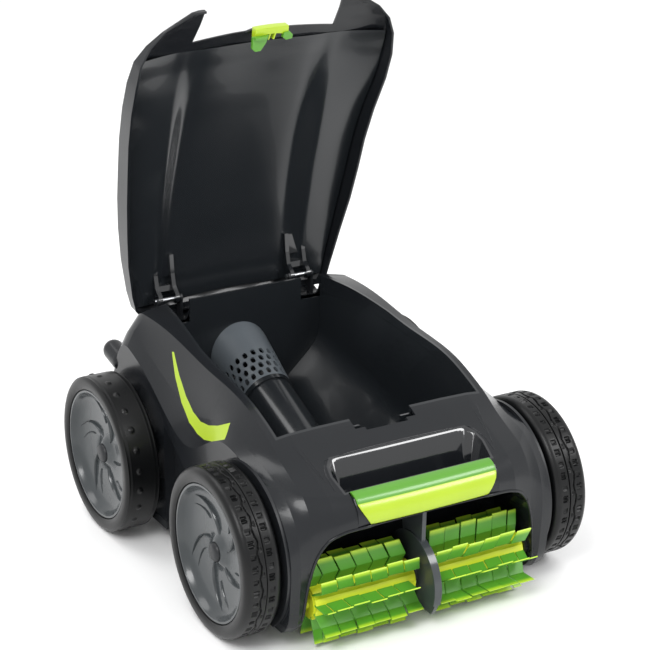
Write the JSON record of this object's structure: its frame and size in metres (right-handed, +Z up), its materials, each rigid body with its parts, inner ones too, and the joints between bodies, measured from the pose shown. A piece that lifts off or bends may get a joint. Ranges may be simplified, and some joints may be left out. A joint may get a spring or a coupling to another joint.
{
  "type": "pool cleaner",
  "caption": "Wheeled robotic pool cleaner: rotating front brush, raised hinged lid over an empty filter tub, pump duct and carrying handle.",
  "frame": {"origin": "floor point under the centre of the bounding box, with the lid open", "axes": "+Z up, -Y forward towards the brush, +X along the axles, to the right when the front is seen"},
  "size_m": [0.43, 0.507, 0.6186],
  "materials": {
    "charcoal_gloss": "glossy, moulded",
    "charcoal_satin": "satin, moulded",
    "dark_inner": "polished, moulded",
    "green_grip": "glossy, moulded",
    "lime_trim": "glossy, moulded",
    "tyre_black": "satin rubber",
    "smoke_grey": "glossy, tinted",
    "guard_grey": "satin, moulded",
    "brush_rubber": "satin rubber",
    "core_lime": "satin, moulded",
    "steel": "turned",
    "belt_rubber": "matt rubber",
    "motor_black": "satin, potted"
  },
  "bodies": {
    "hull": {"front_hood": "charcoal_gloss", "left_side_panel": "charcoal_gloss", "right_side_panel": "charcoal_gloss", "rear_cover": "charcoal_gloss", "lower_chassis": "charcoal_satin", "filter_tub": "dark_inner", "inlet_frame": "charcoal_satin", "handle_pocket": "dark_inner", "handle_bar": "green_grip", "handle_trim": "lime_trim", "left_side_inlay": "lime_trim", "right_side_inlay": "lime_trim", "left_axle_flanges": "charcoal_satin", "right_axle_flanges": "charcoal_satin", "outlet_grille": "guard_grey", "cable_socket": "charcoal_satin", "propeller_guard": "guard_grey", "pump_housing": "dark_inner", "pump_motor": "motor_black", "left_drive_motor": "motor_black", "right_drive_motor": "motor_black", "left_rear_belt": "belt_rubber", "right_rear_belt": "belt_rubber", "left_brush_belt": "belt_rubber", "right_brush_belt": "belt_rubber", "centre_brush_guard": "smoke_grey", "brush_bushes": "charcoal_satin", "hinge_brackets": "charcoal_satin", "hinge_pins": "steel", "chassis_screws": "steel"},
    "lid": {"lid_shell": "charcoal_gloss", "lid_liner": "dark_inner", "left_hinge_arm": "charcoal_satin", "right_hinge_arm": "charcoal_satin"},
    "latch": {"latch_lever": "green_grip"},
    "inlet_flap": {"inlet_flap": "smoke_grey"},
    "propeller": {"propeller": "core_lime", "propeller_shaft": "steel"},
    "front_left_wheel": {"front_left_tyre": "tyre_black", "front_left_rim": "smoke_grey", "front_left_hub_cap": "smoke_grey", "front_left_axle": "charcoal_satin"},
    "front_right_wheel": {"front_right_tyre": "tyre_black", "front_right_rim": "smoke_grey", "front_right_hub_cap": "smoke_grey", "front_right_axle": "charcoal_satin"},
    "rear_left_wheel": {"rear_left_tyre": "tyre_black", "rear_left_rim": "smoke_grey", "rear_left_hub_cap": "smoke_grey", "rear_left_axle": "charcoal_satin"},
    "rear_right_wheel": {"rear_right_tyre": "tyre_black", "rear_right_rim": "smoke_grey", "rear_right_hub_cap": "smoke_grey", "rear_right_axle": "charcoal_satin"},
    "left_brush": {"left_brush_core": "core_lime", "left_brush_blades": "brush_rubber"},
    "left_pinion": {"left_motor_pinion": "core_lime"},
    "right_brush": {"right_brush_core": "core_lime", "right_brush_blades": "brush_rubber"},
    "right_pinion": {"right_motor_pinion": "core_lime"}
  },
  "joints": [
    {"name": "lid_hinge", "type": "hinge", "parent": "hull", "child": "lid", "pos_m": [0, 0.2135, 0.247], "axis": [1, 0, 0], "range_deg": [0, 80]},
    {"name": "latch_press", "type": "hinge", "parent": "lid", "child": "latch", "pos_m": [0, 0.12132, 0.57396], "axis": [1, 0, 0], "range_deg": [0, 12], "stiffness_Nm_per_rad": 0.6, "springref_deg": -2.86},
    {"name": "inlet_flap_hinge", "type": "hinge", "parent": "hull", "child": "inlet_flap", "pos_m": [0, 0.0045, 0.0874], "axis": [-1, 0, 0], "range_deg": [0, 70]},
    {"name": "propeller_spin", "type": "hinge", "parent": "hull", "child": "propeller", "pos_m": [-0.01, 0.1845, 0.173], "axis": [0, 0.9304, 0.3665], "continuous": true},
    {"name": "front_left_wheel_spin", "type": "hinge", "parent": "hull", "child": "front_left_wheel", "pos_m": [-0.1935, -0.1305, 0.094], "axis": [1, 0, 0], "continuous": true},
    {"name": "rear_left_wheel_spin", "type": "hinge", "parent": "hull", "child": "rear_left_wheel", "pos_m": [-0.1935, 0.1595, 0.094], "axis": [1, 0, 0], "continuous": true},
    {"name": "left_brush_spin", "type": "hinge", "parent": "hull", "child": "left_brush", "pos_m": [-0.07, -0.2025, 0.0485], "axis": [1, 0, 0], "continuous": true},
    {"name": "left_pinion_spin", "type": "hinge", "parent": "hull", "child": "left_pinion", "pos_m": [-0.1564, -0.07152, 0.0527], "axis": [1, 0, 0], "continuous": true},
    {"name": "front_right_wheel_spin", "type": "hinge", "parent": "hull", "child": "front_right_wheel", "pos_m": [0.1935, -0.1305, 0.094], "axis": [1, 0, 0], "continuous": true},
    {"name": "rear_right_wheel_spin", "type": "hinge", "parent": "hull", "child": "rear_right_wheel", "pos_m": [0.1935, 0.1595, 0.094], "axis": [1, 0, 0], "continuous": true},
    {"name": "right_brush_spin", "type": "hinge", "parent": "hull", "child": "right_brush", "pos_m": [0.07, -0.2025, 0.0485], "axis": [1, 0, 0], "continuous": true},
    {"name": "right_pinion_spin", "type": "hinge", "parent": "hull", "child": "right_pinion", "pos_m": [0.1564, -0.07152, 0.0527], "axis": [1, 0, 0], "continuous": true}
  ],
  "couplings": [
    {"joint": "rear_left_wheel_spin", "follows": "front_left_wheel_spin", "ratio": 1},
    {"joint": "left_brush_spin", "follows": "front_left_wheel_spin", "ratio": 3},
    {"joint": "left_pinion_spin", "follows": "front_left_wheel_spin", "ratio": -4},
    {"joint": "rear_right_wheel_spin", "follows": "front_right_wheel_spin", "ratio": 1},
    {"joint": "right_brush_spin", "follows": "front_right_wheel_spin", "ratio": 3},
    {"joint": "right_pinion_spin", "follows": "front_right_wheel_spin", "ratio": -4}
  ]
}
